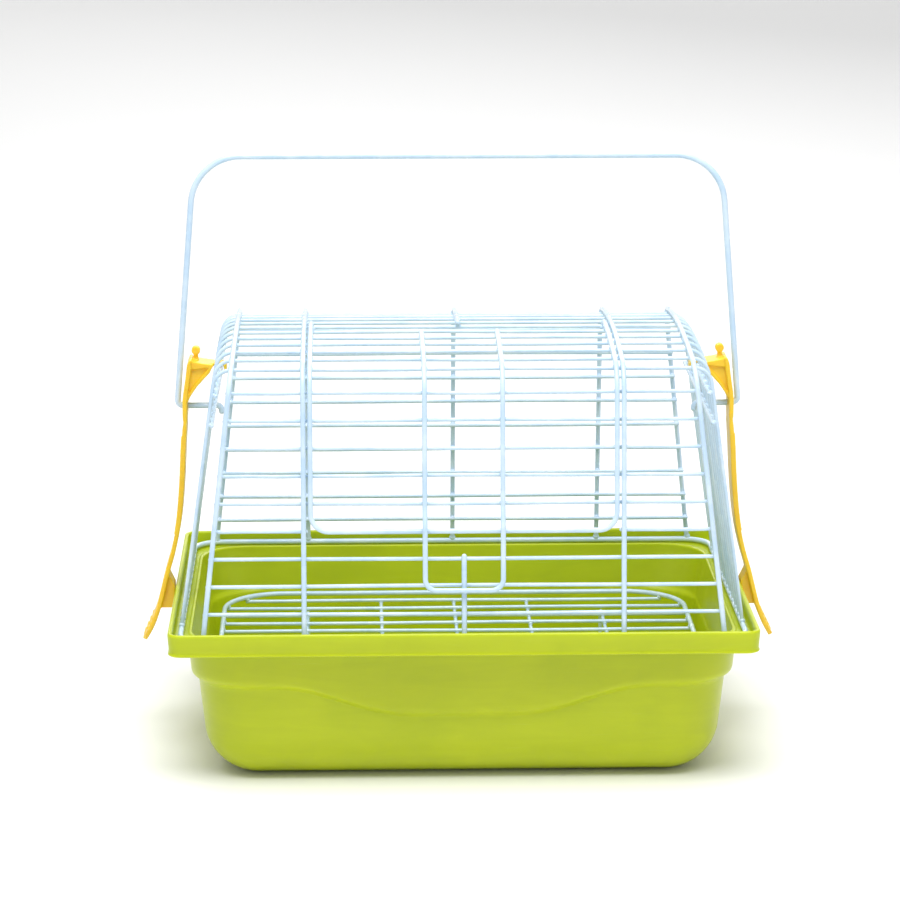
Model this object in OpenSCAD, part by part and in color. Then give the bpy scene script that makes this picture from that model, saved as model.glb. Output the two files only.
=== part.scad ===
// Small wire-top carrier: moulded tray, floor grate, domed wire top, hinged top-and-front door,
// swinging bail handle and a moulded side clip at each end.
// Frame: X along the length, -Y is the door side, +Z up, origin at the tray's bottom centre, millimetres.
// Rest pose: everything closed, handle standing up.

/* [Tray] */
// outer length of the tray's rim
rim_l = 230; // [180:1:300]
// outer width of the tray's rim
rim_w = 170; // [130:1:220]
// height of the rim's top edge
rim_h = 64; // [50:1:90]
// height of the hanging skirt round the rim
skirt_h = 9; // [5:0.5:14]
// wall thickness of the tray
wall = 1.8; // [1.2:0.1:3]
// depth of the channel that the wire top stands in, below the rim's top
channel = 5.5; // [3:0.5:9]
// radius of the rim's corners in plan
rim_r = 5; // [3:0.5:12]
// height of the moulded step round the body
step_z = 39.5; // [25:0.5:50]
// how far the step dips in the middle of the long sides
wave_dip = 11.5; // [0:0.5:18]
// distance from the middle at which the step begins to dip
wave_half = 72; // [50:2:80]
// half length of the level stretch at the bottom of the dip
wave_flat = 20; // [0:2:40]
// radius between the tray's sides and its floor
floor_r = 18; // [6:1:24]

/* [Floor grate] */
// height of the grate's frame wire
grate_z = 40.6; // [20:0.1:50]
// half length of the grate's frame
grate_hx = 97; // [70:1:120]
// half width of the grate's frame
grate_hy = 66; // [50:1:90]
// radius of the frame's corners
grate_r = 25; // [10:1:40]
// spacing of the long slat wires
slat_pitch = 12; // [8:0.5:20]

/* [Wire top] */
// half length of the base frame
base_hx = 110.4; // [90:0.1:140]
// half width of the base frame
base_hy = 80.4; // [60:0.1:110]
// height of the base frame
base_z = 60; // [45:0.5:80]
// height of the roof at its middle
roof_z = 169.5; // [120:0.5:240]
// lean of the front and back panels, degrees
lean = 7.8; // [3:0.1:15]
// radius of the shoulder between panel and roof
shoulder_r = 13; // [8:0.5:40]
// radius of the roof's gentle curve
roof_r = 400; // [200:10:900]
// lean of the end panels, degrees
end_lean = 8; // [3:0.1:15]
// radius of the bend from roof into end panel
end_bend = 7; // [3:0.5:14]
// number of long wires from the front base over the roof to the back base
long_n = 30; // [20:1:44]
// distance from the base frame to the first long wire
first_gap = 10.6; // [6:0.1:16]
// distance of the inner arches from the middle
inner_x = 62; // [40:1:80]
// distance of the outer arches from the middle, at the base
outer_x = 101.3; // [80:0.1:120]
// distance of the outer arches from the middle, at the roof
outer_top_x = 89; // [60:0.5:110]
// radius of the heavier wires: arches, door frame, latch
arch_wr = 1; // [0.6:0.05:1.6]
// radius of the thin wires
thin_wr = 0.75; // [0.5:0.05:1.2]
// radius of the base frame wire
base_wr = 1.1; // [0.8:0.05:1.8]

/* [Door] */
// distance of the door's side wires from the middle
door_x = 59.3; // [35:0.1:75]
// distance of the latch tongue's legs from the middle
tongue_x = 15.1; // [8:0.1:30]
// height of the latch tongue's lower bar
tongue_z = 80; // [70:0.5:95]
// how far the tongue's lower end stands out over the door's lower bar and the latch post
tongue_out = 2.4; // [2.4:0.1:5]

/* [Handle] */
// height of the handle's pivot
pivot_z = 137; // [110:0.5:160]
// distance of the handle's legs from the middle, at the pivot
handle_x = 113.4; // [100:0.1:140]
// distance of the handle's legs from the middle, at the crossbar's height
handle_top_x = 105.2; // [80:0.1:130]
// height of the crossbar
handle_z = 238; // [190:1:300]
// radius of the handle's top corners
handle_r = 20; // [8:1:40]
// radius of the handle's wire
handle_wr = 1.2; // [0.9:0.05:2]

/* [Clips] */
// width of the clips
clip_w = 14; // [8:0.5:24]
// thickness of the clip's strap
clip_t = 1.8; // [1.2:0.1:3]
// height of the clip's living hinge
clip_hinge_z = 131; // [120:0.5:134]

/* [Hidden] */
$fn = 48;
gap = 0.1;
hx = rim_l/2;
hy = rim_w/2;
ledge_z = rim_h - channel;
layer = arch_wr + thin_wr + gap;                 // long wires lie this far inside the arches
pin_clear = 0.08;
base_r = 12;                                      // corner radius of the base frame

// profile across the width: leaning panel, shoulder, gently curved roof
function sh_u(f, zt) =
  let (a1 = base_hy - shoulder_r/cos(f), b1 = tan(f), c1 = base_z - zt + roof_r,
       a = 1 + b1*b1, b = 2*c1 - 2*a1*b1, c = a1*a1 + c1*c1 - pow(roof_r - shoulder_r, 2))
  (-b + sqrt(b*b - 4*a*c))/(2*a);
function sh_c(f, zt) =                            // shoulder centre, front side
  let (u = sh_u(f, zt)) [-(base_hy - shoulder_r/cos(f) - u*tan(f)), base_z + u];
function sh_a(f, zt) = let (c = sh_c(f, zt)) atan2(c[1] - (zt - roof_r), c[0]);
function foot(f, o) = [-base_hy + o*cos(f), base_z - o*sin(f)];
function knee(f, zt, o) = let (c = sh_c(f, zt)) [c[0] - (shoulder_r - o)*cos(f),
                                                   c[1] + (shoulder_r - o)*sin(f)];
function panel_len(f, zt, o) = norm(knee(f, zt, o) - foot(f, o));
function sh_len(f, zt, o) = (shoulder_r - o)*(180 - f - sh_a(f, zt))*PI/180;
function roof_len(f, zt, o) = (roof_r - o)*2*(sh_a(f, zt) - 90)*PI/180;
function along(s, o) =                            // point [y, z] at arc length s on the profile
  let (l1 = panel_len(lean, roof_z, o), l2 = sh_len(lean, roof_z, o), l3 = roof_len(lean, roof_z, o),
       t = 2*l1 + 2*l2 + l3)
  s > t/2 ? let (p = along(t - s, o)) [-p[0], p[1]]
  : s <= l1 ? foot(lean, o) + s*[sin(lean), cos(lean)]
  : s <= l1 + l2 ? let (th = 180 - lean - (s - l1)/(shoulder_r - o)*180/PI)
      sh_c(lean, roof_z) + (shoulder_r - o)*[cos(th), sin(th)]
  : let (th = sh_a(lean, roof_z) - (s - l1 - l2)/(roof_r - o)*180/PI)
      [0, roof_z - roof_r] + (roof_r - o)*[cos(th), sin(th)];
total_len = 2*panel_len(lean, roof_z, layer) + 2*sh_len(lean, roof_z, layer)
          + roof_len(lean, roof_z, layer);
pitch = (total_len - 2*first_gap)/(long_n - 1);
function long_at(n) = along(first_gap + (n - 1)*pitch, layer);   // n = 1 is the lowest front wire
first_roof = 10;                                  // long wires from here to last_roof lie on the roof
last_roof = long_n + 1 - first_roof;
hinge_n = long_n/2 + 1;                           // the roof wire that carries the door
door_n = 4;                                       // the door's lower bar lies on this row
function end_x(z) = base_hx - (z - base_z)*tan(end_lean);
outer_tilt = atan((outer_x - outer_top_x)/(roof_z - base_z));
function outer_at(z) = outer_x - (z - base_z)*tan(outer_tilt);
bend_t = end_bend*tan((90 - end_lean)/2);

// ---------- helpers ----------
module rod(p, q, r) {
  d = q - p;
  translate(p) rotate([0, acos(d[2]/norm(d)), atan2(d[1], d[0])]) cylinder(h = norm(d), r = r, $fn = 24);
}
module ring(r1, r, a) { rotate_extrude(angle = a, $fn = 64) translate([r1, 0]) circle(r, $fn = 24); }
// a bent wire is rods and arcs that stop just short of each other, joined by a knot over each join
module knot(p, r) { translate(p) sphere(r + 0.03, $fn = 24); }
module leg(p, q, r) { let (d = 0.03*(q - p)/norm(q - p)) rod(p + d, q - d, r); }
module arc_yz(c, r1, r, a0, a1) {
  e = 0.03/r1*180/PI;
  translate([0, c[0], c[1]]) rotate([90, 0, 90]) rotate([0, 0, a0 + e]) ring(r1, r, a1 - a0 - 2*e);
}
module arc_xz(c, r1, r, a0, a1) {
  e = 0.03/r1*180/PI;
  translate([c[0], 0, c[1]]) rotate([90, 0, 0]) rotate([0, 0, a0 + e]) ring(r1, r, a1 - a0 - 2*e);
}
function at_yz(c, r1, a) = [0, c[0] + r1*cos(a), c[1] + r1*sin(a)];
function at_xz(c, r1, a) = [c[0] + r1*cos(a), 0, c[1] + r1*sin(a)];
module ring_frame(x, y, r1, r) {
  for (i = [0, 1]) mirror([i, 0, 0]) {
    rod([x, -(y - r1), 0], [x, y - r1, 0], r);
    for (j = [0, 1]) mirror([0, j, 0]) translate([x - r1, y - r1, 0]) ring(r1, r, 90);
  }
  for (j = [-1, 1]) rod([-(x - r1), j*y, 0], [x - r1, j*y, 0], r);
}
// arch over the profile, from its foot on the base frame; half: only the back half and a little over
module arch(f, zt, r, half = false, y_stop = 0) {
  c = sh_c(f, zt);
  a = sh_a(f, zt);
  k = knee(f, zt, 0);
  s0 = base_wr + gap;
  p0 = foot(f, 0) + (s0/cos(f))*[sin(f), cos(f)];
  for (m = half ? [1] : [0, 1]) mirror([0, m, 0]) {
    leg([0, p0[0], p0[1]], [0, k[0], k[1]], r);
    knot([0, k[0], k[1]], r);
    arc_yz(c, shoulder_r, r, a, 180 - f);
    knot(at_yz(c, shoulder_r, a), r);
  }
  if (half) arc_yz([0, zt - roof_r], roof_r, r, 180 - a, 90 - asin(y_stop/roof_r));
  else arc_yz([0, zt - roof_r], roof_r, r, 180 - a, a);
}
module tilted_arch(x, tilt, r) {
  translate([x, 0, base_z]) rotate([0, -tilt, 0]) translate([0, 0, -base_z])
    arch(atan(tan(lean)*cos(tilt)), base_z + (roof_z - base_z)/cos(tilt), r);
}
module left() { mirror([1, 0, 0]) children(); }

// ---------- tray ----------
module rrect(x, y, r) {
  square([2*x, 2*(y - r)], center = true);
  square([2*(x - r), 2*y], center = true);
  for (i = [-1, 1], j = [-1, 1]) translate([i*(x - r), j*(y - r)]) circle(r, $fn = 64);
}
module slab(x, y, r, z, h) { translate([0, 0, z]) linear_extrude(h) rrect(x, y, r); }
module pad(x, y, r, z) {                         // four thin corner discs, only ever used inside hull()
  for (i = [-1, 1], j = [-1, 1]) translate([i*(x - r), j*(y - r), z]) cylinder(r = r, h = 0.01, $fn = 40);
}
function body_in(z) = (step_z - z)*0.11;          // draft of the lower body
module bowl(o) {                                  // lower body, o inside its outer face
  bx = hx - 10.6 - o;
  by = hy - 10.6 - o;
  fr = floor_r - o;
  hull() {
    pad(bx + (o > 0 ? 0.1 : 0), by + (o > 0 ? 0.1 : 0), 22 - o, step_z + (o > 0 ? 0.4 : -0.01));
    for (a = [0, 14, 28, 42, 56, 70, 82]) {
      zz = o + fr*(1 - cos(a));
      in = body_in(zz) + fr*(1 - sin(a));
      pad(bx - in, by - in, max(24 - o - in, 4), zz);
    }
  }
}
function wave_at(x) = let (u = max(abs(x) - wave_flat, 0)/(wave_half - wave_flat))
  step_z - wave_dip*(0.5 + 0.5*cos(180*u));
module wave_above() {                             // everything above the step line
  rotate([90, 0, 0]) translate([0, 0, -hy]) linear_extrude(2*hy)
    polygon(concat([[hx, 60], [-hx, 60], [-hx, step_z]],
      [for (x = [-wave_half:2:wave_half]) [x, wave_at(x)]], [[hx, step_z]]));
}
module tray() {
  color([0.62, 0.72, 0.12]) difference() {
    union() {
      difference() {
        slab(hx, hy, rim_r, rim_h - skirt_h, skirt_h);
        slab(hx - wall, hy - wall, rim_r - wall, ledge_z, rim_h);
        slab(hx - wall, hy - wall, rim_r - wall, 0, ledge_z - wall);
      }
      bowl(0);
      intersection() {
        hull() {
          pad(hx - 9.4, hy - 9.4, 22, step_z - wave_dip - 0.5);
          pad(hx - 6.8, hy - 6.8, 21, ledge_z - wall + 0.3);
        }
        wave_above();
      }
    }
    bowl(wall);
    hull() {
      pad(hx - 12, hy - 12, 20, step_z + 0.2);
      pad(hx - 8.6, hy - 8.6, 19.2, ledge_z + 0.2);
    }
  }
}

// ---------- floor grate ----------
white = [0.8, 0.88, 0.94];
module grate_frame() {
  color(white) translate([0, 0, grate_z]) ring_frame(grate_hx, grate_hy, grate_r, arch_wr);
}
function grate_half(y) = abs(y) < grate_hy - grate_r ? grate_hx
  : grate_hx - grate_r + sqrt(pow(grate_r, 2) - pow(abs(y) - grate_hy + grate_r, 2));
slat_z = grate_z - layer;                         // the slats lie under the frame
module grate_slat_wires() {
  color(white) for (i = [-5:5]) let (y = i*slat_pitch, h = grate_half(y) + arch_wr/2)
    rod([-h, y, slat_z], [h, y, slat_z], thin_wr);
}
cross_z = slat_z - 2*thin_wr - gap;                // the cross wires and legs lie under the slats
module grate_cross_wires() {
  e = grate_hy - arch_wr - gap;
  color(white) for (x = [-31, 0, 31]) rod([x, -e, cross_z], [x, e, cross_z], thin_wr);
}
module grate_leg_wires() {
  color(white) for (x = [-62, 62]) translate([x, 0, 0]) {
    leg([0, -46, cross_z], [0, 46, cross_z], thin_wr);
    for (m = [0, 1]) mirror([0, m, 0]) {
      knot([0, 46, cross_z], thin_wr);
      arc_yz([46, cross_z - 4], 4, thin_wr, 0, 90);
      knot([0, 50, cross_z - 4], thin_wr);
      leg([0, 50, wall + 0.3], [0, 50, cross_z - 4], thin_wr);
    }
  }
}

// ---------- wire top ----------
module base_frame_wire() {
  color(white) translate([0, 0, base_z]) ring_frame(base_hx, base_hy, base_r, base_wr);
}
module right_outer_arch_wire() { color(white) tilted_arch(outer_x, outer_tilt, arch_wr); }
module left_outer_arch_wire() { left() right_outer_arch_wire(); }
module right_inner_arch_wire() { color(white) translate([inner_x, 0, 0]) arch(lean, roof_z, arch_wr); }
module left_inner_arch_wire() { left() right_inner_arch_wire(); }
module rear_centre_arch_wire() {
  color(white) arch(lean, roof_z, arch_wr, half = true, y_stop = long_at(hinge_n)[0] - 1.2);
}
module latch_post_wire() {
  p = foot(lean, 0);
  d = [sin(lean), cos(lean)];
  a = p + (base_wr + gap + 0.05)*d;
  b = p + (first_gap + 2*pitch + 1.4)*d;
  color(white) rod([0, a[0], a[1]], [0, b[0], b[1]], arch_wr);
}
module long_wire(n, x0, x1) { let (p = long_at(n)) rod([x0, p[0], p[1]], [x1, p[0], p[1]], thin_wr); }
function over(n) = outer_at(long_at(n)[1]) + 1.2;  // the panel wires end on the outer arches
function roof_end(n) = end_x(long_at(n)[1]) - bend_t - gap/2;
module front_cross_wires() { color(white) for (n = [1:door_n - 1]) long_wire(n, -over(n), over(n)); }
module rear_cross_wires() {
  color(white) for (n = [last_roof + 1:long_n]) long_wire(n, -over(long_n + 1 - n), over(long_n + 1 - n));
}
module roof_cross_wires() {
  color(white) for (n = [hinge_n + 1:last_roof]) long_wire(n, -roof_end(n), roof_end(n));
}
module door_hinge_wire() { color(white) long_wire(hinge_n, -roof_end(hinge_n), roof_end(hinge_n)); }
module right_front_short_wires() {
  color(white) for (n = [door_n:first_roof - 1]) long_wire(n, inner_x - 1, over(n));
}
module left_front_short_wires() { left() right_front_short_wires(); }
module right_roof_short_wires() {
  color(white) for (n = [first_roof:hinge_n - 1]) long_wire(n, inner_x - 1, roof_end(n));
}
module left_roof_short_wires() { left() right_roof_short_wires(); }
module upright(n) {
  p = long_at(n);
  cx = roof_end(n) + gap/2;
  e = 90 - end_lean;
  s = [cx + end_bend*sin(e), p[1] - end_bend*(1 - cos(e))];
  zb = base_z + base_wr + gap + 0.1;
  translate([0, p[0], 0]) {
    arc_xz([cx, p[1] - end_bend], end_bend, thin_wr, 90 - e, 90);
    knot([s[0], 0, s[1]], thin_wr);
    leg([s[0], 0, s[1]], [end_x(zb), 0, zb], thin_wr);
  }
}
module right_end_uprights() { color(white) for (n = [first_roof:last_roof]) upright(n); }
module left_end_uprights() { left() right_end_uprights(); }
rail_z = [153.2, pivot_z + 4.4];
function rail_x(z) = end_x(z) - (2*thin_wr + gap)/cos(end_lean);
module right_end_rail_wires() {
  y = long_at(last_roof)[0] + 2;
  color(white) for (z = rail_z) rod([rail_x(z), -y, z], [rail_x(z), y, z], thin_wr);
}
module left_end_rail_wires() { left() right_end_rail_wires(); }

// ---------- clips ----------
neck_x = 110.2;
yellow = [0.93, 0.7, 0.1];
module yslab(w, pts) { translate([0, w/2, 0]) rotate([90, 0, 0]) linear_extrude(w) polygon(pts); }
module right_clip_head() {
  rz = rail_z[0];
  rx = rail_x(rz);
  color(yellow) difference() {
    union() {
      yslab(clip_w, [[98.6, rz + 0.6], [101.4, 149.6], [105.2, 145.6], [107.7, 142], [109.1, 139.2],
        [109.2, 132.2], [111.2, 132.2], [111.2, 139.6], [110.9, 142.5], [109.6, 151], [108.9, 154.6],
        [107.6, 155.8], [99, 155.8]]);
      yslab(8, [[99.2, 155.8], [rx - 2.6, 155.8], [rx - 2.6, rz - 2], [rx - 1.3, rz - 2],
        [rx - 1.2, rz + 0.95], [99.2, rz + 0.95]]);
      translate([105.6, 0, 155]) cylinder(r = 1.3, h = 3.9, $fn = 32);
      translate([105.6, 0, 159.6]) sphere(1.9, $fn = 32);
    }
    translate([100, 0, pivot_z]) rotate([0, 90, 0]) cylinder(r = handle_wr + pin_clear, h = 20, $fn = 48);
  }
}
module left_clip_head() { left() right_clip_head(); }
// strap centreline as [distance from the middle, height], from the living hinge to the thumb tab
strap = [[neck_x, clip_hinge_z], [110.9, 121], [111.8, 105], [113.3, 90], [115.7, 78], [118.3, 69],
         [120.2, 61.5], [122, 54.5], [124.6, 47.4], [128.2, 40.6]];
function cr(a, b, c, d, t) =
  0.5*(2*b + (c - a)*t + (2*a - 5*b + 4*c - d)*t*t + (3*b - a - 3*c + d)*t*t*t);
function strap_pt(i, t) =
  cr(strap[max(i - 1, 0)], strap[i], strap[i + 1], strap[min(i + 2, len(strap) - 1)], t);
strap_pts = concat([for (i = [0:len(strap) - 2], t = [0, 0.33, 0.67]) strap_pt(i, t)],
                   [strap[len(strap) - 1]]);
function strap_n(i) = let (d = strap_pts[min(i + 1, len(strap_pts) - 1)] - strap_pts[max(i - 1, 0)])
  [d[1], -d[0]]/norm(d);
module right_clip_arm() {
  m = len(strap_pts) - 1;
  color(yellow) {
    intersection() {
      yslab(clip_w + 2, concat([for (i = [0:m]) strap_pts[i] + strap_n(i)*clip_t/2],
        [for (i = [m:-1:0]) strap_pts[i] - strap_n(i)*clip_t/2]));
      rotate([90, 0, 90]) linear_extrude(200) {
        polygon([[-clip_w/2, 132], [-clip_w/2, 76], [-clip_w/2 - 1, 66], [-clip_w/2 - 1, 46],
          [clip_w/2 + 1, 46], [clip_w/2 + 1, 66], [clip_w/2, 76], [clip_w/2, 132]]);
        intersection() {
          translate([0, 46]) circle(clip_w/2 + 1, $fn = 64);
          translate([-10, 36]) square([20, 12]);
        }
      }
    }
    translate([neck_x, clip_w/2, clip_hinge_z]) rotate([90, 0, 0])
      cylinder(r = clip_t/2, h = clip_w, $fn = 32);
    yslab(clip_w - 2, [[hx + 0.35, rim_h - 1], [hx + 0.35, 56.4], [hx + 1.6, 53.6], [121.9, 53.6],
      [120.8, 57.5], [118.4, rim_h + 4.4], [hx + 2.6, rim_h + 4.4]]);
  }
}
module left_clip_arm() { left() right_clip_arm(); }

// ---------- door ----------
module door_frame_wire() {
  c = sh_c(lean, roof_z);
  a = sh_a(lean, roof_z);
  k = knee(lean, roof_z, 0);
  h = long_at(hinge_n);
  s = first_gap + (door_n - 1)*pitch;
  b = foot(lean, 0) + s*[sin(lean), cos(lean)];
  ya = 90 - asin(h[0]/roof_r);
  cr1 = 7;
  color(white) {
    for (m = [0, 1]) mirror([m, 0, 0]) translate([door_x, 0, 0]) {
      translate([0, h[0], h[1]]) rotate([0, 90, 0]) difference() {
        cylinder(r = layer + 1.3*arch_wr, h = 1.7*arch_wr, center = true);  // takes in the whole wire end
        cylinder(r = thin_wr + pin_clear, h = 3*arch_wr, center = true);
      }
      arc_yz([0, roof_z - roof_r], roof_r, arch_wr, ya + 0.5/roof_r*180/PI, a);
      knot(at_yz(c, shoulder_r, a), arch_wr);
      arc_yz(c, shoulder_r, arch_wr, a, 180 - lean);
      knot([0, k[0], k[1]], arch_wr);
    }
    translate([0, b[0], b[1]]) rotate([-lean, 0, 0]) {
      for (m = [0, 1]) mirror([m, 0, 0]) {
        leg([door_x, 0, cr1], [door_x, 0, norm(k - b)], arch_wr);
        knot([door_x, 0, cr1], arch_wr);
        arc_xz([door_x - cr1, cr1], cr1, arch_wr, -90, 0);
        knot([door_x - cr1, 0, 0], arch_wr);
      }
      leg([-(door_x - cr1), 0, 0], [door_x - cr1, 0, 0], arch_wr);
    }
  }
}
module door_cross_wires() {
  color(white) for (n = [door_n + 1:hinge_n - 1]) long_wire(n, -(door_x + 0.8), door_x + 0.8);
}
module door_latch_tongue_wire() {
  c = sh_c(lean, roof_z);
  a = sh_a(lean, roof_z);
  k = knee(lean, roof_z, 0);
  yt = long_at(hinge_n - 2)[0] + 3;
  at = 90 - asin(yt/roof_r);
  up = [sin(lean), cos(lean)];                    // up along the front panel
  out = [-cos(lean), sin(lean)];                  // straight out of the front panel
  bar = foot(lean, 0) + (first_gap + (door_n - 1)*pitch)*up;
  bend = bar + 9.5*up;                            // here the legs leave the panel
  b = bar + 1.5*up + tongue_out*out;              // here they are clear of the door's lower bar
  l2 = (b[1] - tongue_z)/cos(lean);
  cr1 = 4.5;
  color(white) {
    for (m = [0, 1]) mirror([m, 0, 0]) translate([tongue_x, 0, 0]) {
      arc_yz([0, roof_z - roof_r], roof_r, arch_wr, at, a);
      knot(at_yz(c, shoulder_r, a), arch_wr);
      arc_yz(c, shoulder_r, arch_wr, a, 180 - lean);
      knot([0, k[0], k[1]], arch_wr);
      leg([0, bend[0], bend[1]], [0, k[0], k[1]], arch_wr);
      knot([0, bend[0], bend[1]], arch_wr);
      leg([0, b[0], b[1]], [0, bend[0], bend[1]], arch_wr);
      knot([0, b[0], b[1]], arch_wr);
    }
    translate([0, b[0], b[1]]) rotate([-lean, 0, 0]) {
      for (m = [0, 1]) mirror([m, 0, 0]) {
        leg([tongue_x, 0, cr1 - l2], [tongue_x, 0, 0], arch_wr);
        knot([tongue_x, 0, cr1 - l2], arch_wr);
        arc_xz([tongue_x - cr1, cr1 - l2], cr1, arch_wr, -90, 0);
        knot([tongue_x - cr1, 0, -l2], arch_wr);
      }
      leg([-(tongue_x - cr1), 0, -l2], [tongue_x - cr1, 0, -l2], arch_wr);
    }
  }
}

// ---------- handle ----------
module handle_wire() {
  a = atan((handle_x - handle_top_x)/(handle_z - pivot_z));
  t = handle_r*tan((90 - a)/2);
  xc = handle_top_x - t;
  pr = 2.2;
  tp = pr*tan((90 + a)/2);
  xp = handle_x - tp;
  tip = end_x(pivot_z) - 4;                       // the pins are turned down just inside the end panels
  top = at_xz([xc, handle_z - handle_r], handle_r, a);
  low = at_xz([xp, pivot_z + pr], pr, a);
  color(white) {
    for (m = [0, 1]) mirror([m, 0, 0]) {
      knot([xc, 0, handle_z], handle_wr);
      arc_xz([xc, handle_z - handle_r], handle_r, handle_wr, a, 90);
      knot(top, handle_wr);
      leg(low, top, handle_wr);
      knot(low, handle_wr);
      arc_xz([xp, pivot_z + pr], pr, handle_wr, -90, a);
      knot([xp, 0, pivot_z], handle_wr);
      leg([tip + 2, 0, pivot_z], [xp, 0, pivot_z], handle_wr);
      knot([tip + 2, 0, pivot_z], handle_wr);
      arc_xz([tip + 2, pivot_z - 2], 2, handle_wr, 90, 180);
      knot([tip, 0, pivot_z - 2], handle_wr);
      leg([tip, 0, pivot_z - 3.6], [tip, 0, pivot_z - 2], handle_wr);
    }
    leg([-xc, 0, handle_z], [xc, 0, handle_z], handle_wr);
  }
}

tray();
grate_frame();
grate_slat_wires();
grate_cross_wires();
grate_leg_wires();
base_frame_wire();
left_outer_arch_wire();
right_outer_arch_wire();
left_inner_arch_wire();
right_inner_arch_wire();
rear_centre_arch_wire();
latch_post_wire();
front_cross_wires();
rear_cross_wires();
roof_cross_wires();
door_hinge_wire();
left_front_short_wires();
right_front_short_wires();
left_roof_short_wires();
right_roof_short_wires();
left_end_uprights();
right_end_uprights();
left_end_rail_wires();
right_end_rail_wires();
left_clip_head();
right_clip_head();
left_clip_arm();
right_clip_arm();
door_frame_wire();
door_cross_wires();
door_latch_tongue_wire();
handle_wire();
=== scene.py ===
import math
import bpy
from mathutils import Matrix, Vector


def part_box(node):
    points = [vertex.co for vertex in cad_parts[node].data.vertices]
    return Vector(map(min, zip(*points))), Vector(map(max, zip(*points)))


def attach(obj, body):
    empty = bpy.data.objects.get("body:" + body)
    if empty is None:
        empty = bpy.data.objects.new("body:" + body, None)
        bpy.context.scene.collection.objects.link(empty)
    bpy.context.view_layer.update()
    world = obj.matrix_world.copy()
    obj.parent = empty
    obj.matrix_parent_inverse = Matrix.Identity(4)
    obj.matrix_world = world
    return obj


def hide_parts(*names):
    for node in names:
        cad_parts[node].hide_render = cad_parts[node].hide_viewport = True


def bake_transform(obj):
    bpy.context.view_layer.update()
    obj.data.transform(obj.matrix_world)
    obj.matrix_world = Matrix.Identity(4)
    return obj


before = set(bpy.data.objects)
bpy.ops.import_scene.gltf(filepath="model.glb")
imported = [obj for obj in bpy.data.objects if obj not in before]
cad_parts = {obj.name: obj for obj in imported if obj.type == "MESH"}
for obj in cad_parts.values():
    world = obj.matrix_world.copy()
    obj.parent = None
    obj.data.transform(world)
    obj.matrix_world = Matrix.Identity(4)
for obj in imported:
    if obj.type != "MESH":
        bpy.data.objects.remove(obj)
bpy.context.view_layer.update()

from types import SimpleNamespace

import bpy
import numpy as np
from bpy.props import FloatProperty, FloatVectorProperty, IntProperty, PointerProperty
from bpy.types import Operator, Panel, PropertyGroup
from mathutils import Vector

bl_info = {
    "name": "Small Wire-Top Carrier",
    "version": (1, 0, 0),
    "blender": (4, 5, 0),
    "location": "3D View > Sidebar > Carrier",
    "description": "Builds a small animal carrier: tray, grate, wire top, door, bail handle and side clips",
    "category": "Add Mesh",
}

RIM_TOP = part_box("tray")[1]


def length(name, default, text):
    return FloatProperty(name=name, default=default, description=text, unit="LENGTH", precision=4)


# ---- Sizes and colours a user would change

class TraySizes(PropertyGroup):
    rim_x: length("Rim half length", RIM_TOP.x, "Half the outer length of the tray's rim")
    rim_y: length("Rim half width", RIM_TOP.y, "Half the outer width of the tray's rim")
    rim_z: length("Rim height", RIM_TOP.z, "Height of the rim's top edge")
    rim_corner: length("Rim corner", 0.005, "Radius of the rim's corners in plan")
    skirt: length("Skirt height", 0.009, "Height of the skirt that hangs round the rim")
    channel: length("Channel depth", 0.0055, "Depth of the channel that the wire top stands in")
    wall: length("Wall", 0.0018, "Wall thickness of the moulding")
    step: length("Step height", 0.0395, "Height of the moulded step round the body")
    dip: length("Wave dip", 0.0115, "How far the step dips in the middle of the long sides")
    wave_half: length("Wave half length", 0.072, "Distance from the middle at which the step begins to dip")
    wave_flat: length("Wave flat", 0.020, "Half length of the level stretch at the bottom of the dip")
    floor_round: length("Floor radius", 0.018, "Radius between the sides and the floor")


class WireSizes(PropertyGroup):
    base_x: length("Base half length", 0.1104, "Half length of the base frame's centre line")
    base_y: length("Base half width", 0.0804, "Half width of the base frame's centre line")
    base_z: length("Base height", 0.060, "Height of the base frame's centre line")
    roof_z: length("Roof height", 0.1695, "Height of the arches at the middle of the roof")
    lean: FloatProperty(name="Panel lean", default=math.radians(7.8), unit="ROTATION",
                        description="Lean of the front and back panels")
    shoulder: length("Shoulder radius", 0.013, "Radius between panel and roof")
    roof_round: length("Roof radius", 0.4, "Radius of the roof's gentle curve")
    end_lean: FloatProperty(name="End lean", default=math.radians(8.0), unit="ROTATION",
                            description="Lean of the end panels")
    end_bend: length("End bend", 0.007, "Radius of the bend from roof into end panel")
    long_wires: IntProperty(name="Long wires", default=30, min=20, max=44,
                            description="Long wires from the front base over the roof to the back base")
    first_gap: length("First gap", 0.0106, "Distance from the base frame to the first long wire")
    inner_x: length("Inner arches", 0.062, "Distance of the inner arches from the middle")
    outer_x: length("Outer arches", 0.1013, "Distance of the outer arches from the middle at the base")
    outer_top_x: length("Outer arches, top", 0.089, "Half the distance between the outer arches at the roof")
    thin: length("Thin wire radius", 0.00075, "Radius of the thin wires with their coating")
    heavy: length("Heavy wire radius", 0.001, "Radius of arches, door frame and latch")
    base: length("Base wire radius", 0.0011, "Radius of the base frame's wire")
    sides: IntProperty(name="Wire sides", default=14, min=6, max=32, description="Facets round a wire")
    bow: length("Wire bow", 0.00022, "How far a long wire wanders from straight")
    bead: length("Weld bead", 0.00118, "Radius of the coated bead where two wires are welded")


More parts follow.
